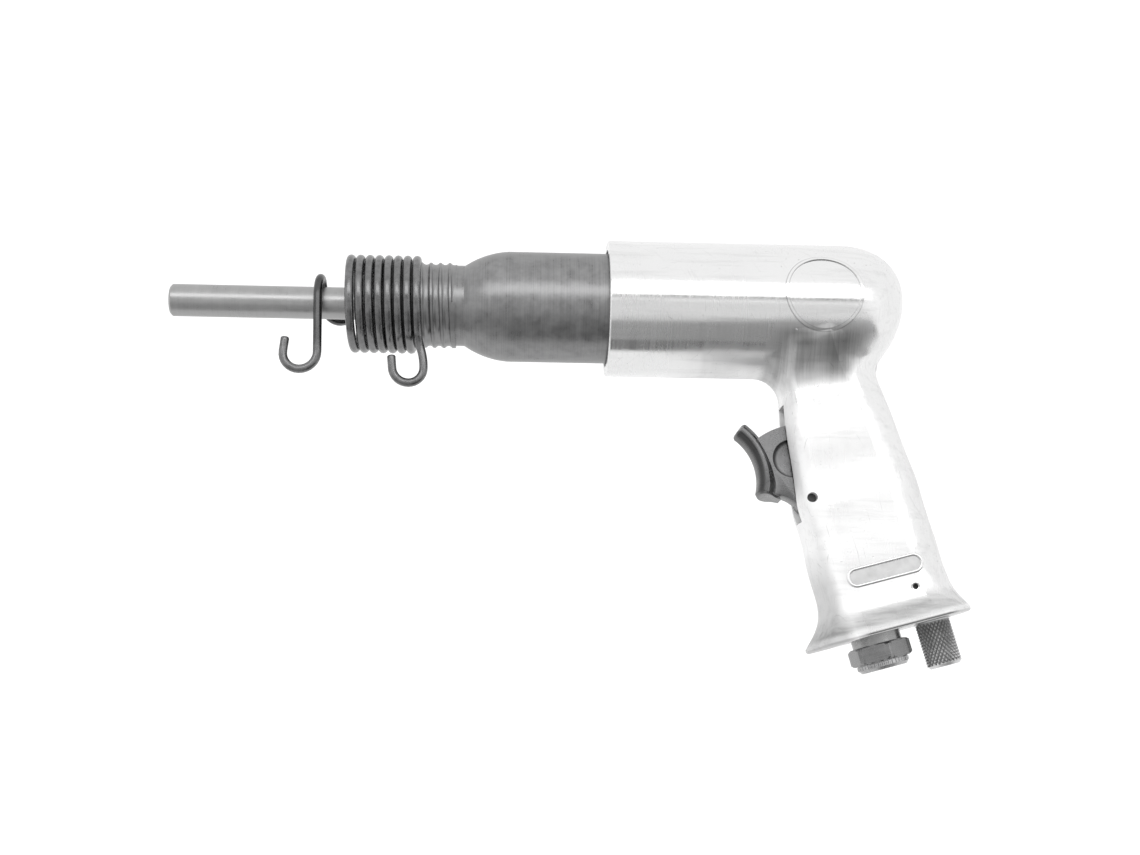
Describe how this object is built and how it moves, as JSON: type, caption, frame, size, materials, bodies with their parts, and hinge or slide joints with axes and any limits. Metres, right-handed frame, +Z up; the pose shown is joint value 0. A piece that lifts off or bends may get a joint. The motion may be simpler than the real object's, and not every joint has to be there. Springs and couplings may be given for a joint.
{
  "type": "pneumatic riveter",
  "caption": "Pistol-grip pneumatic riveter: polished cast housing, steel barrel with a wound wire retainer, rivet set, trigger, air inlet and regulator knob.",
  "frame": {"origin": "middle of the grip, where the hand holds it", "axes": "+Z up, -X the way the rivet set points, the barrel's axis in the plane Y = 0"},
  "size_m": [0.2492, 0.0438, 0.136],
  "materials": {
    "cast_aluminium": "polished casting",
    "blackened_steel": "blackened, satin",
    "spring_steel": "dark, semi-gloss",
    "set_steel": "turned, satin",
    "ground_steel": "ground",
    "trigger_steel": "satin",
    "pin_steel": "blackened",
    "bushing_brass": "turned",
    "fitting_steel": "satin",
    "bright_steel": "plated, bright",
    "knob_steel": "knurled, blackened",
    "seal_rubber": "matt"
  },
  "bodies": {
    "handle": {"handle_housing": "cast_aluminium", "barrel": "blackened_steel", "retainer_spring": "spring_steel", "valve_seat": "ground_steel", "valve_case": "ground_steel", "valve_dowels": "ground_steel", "valve_gasket": "seal_rubber", "trigger_pin": "pin_steel", "throttle_stem_seal": "seal_rubber", "throttle_bushing": "bushing_brass", "throttle_bushing_seal": "seal_rubber", "throttle_spring": "spring_steel", "inlet_bushing": "fitting_steel", "inlet_washer": "bright_steel", "inlet_screen": "bushing_brass", "regulator_pin": "pin_steel"},
    "trigger": {"trigger": "trigger_steel"},
    "throttle": {"throttle_stem": "ground_steel", "throttle_ball": "ground_steel"},
    "piston": {"piston": "ground_steel"},
    "rivet_set": {"rivet_set": "set_steel"},
    "valve_disc": {"valve_disc": "ground_steel"},
    "regulator": {"regulator_knob": "knob_steel", "regulator_seal": "seal_rubber"}
  },
  "joints": [
    {"name": "trigger_pivot", "type": "hinge", "parent": "handle", "child": "trigger", "pos_m": [-0.01765, 0, -0.00214], "axis": [0, 1, 0], "range_deg": [0, 11], "stiffness_Nm_per_rad": 0.5, "springref_deg": -22.92},
    {"name": "throttle_slide", "type": "slide", "parent": "handle", "child": "throttle", "axis": [0.9659, 0, 0.2588], "range_m": [0, 0.0028], "deforming": ["throttle_spring"]},
    {"name": "piston_stroke", "type": "slide", "parent": "handle", "child": "piston", "axis": [1, 0, 0], "range_m": [-0.055, 0.0015]},
    {"name": "rivet_set_slide", "type": "slide", "parent": "handle", "child": "rivet_set", "axis": [1, 0, 0], "range_m": [-0.0095, 0.0007]},
    {"name": "valve_shuttle", "type": "slide", "parent": "handle", "child": "valve_disc", "axis": [1, 0, 0], "range_m": [0, 0.0015]},
    {"name": "regulator_turn", "type": "hinge", "parent": "handle", "child": "regulator", "pos_m": [0.00985, 0, 0.00264], "axis": [-0.2588, 0, 0.9659], "continuous": true}
  ],
  "couplings": [
    {"joint": "throttle_slide", "follows": "trigger_pivot", "m_per_rad": 0.0145}
  ]
}
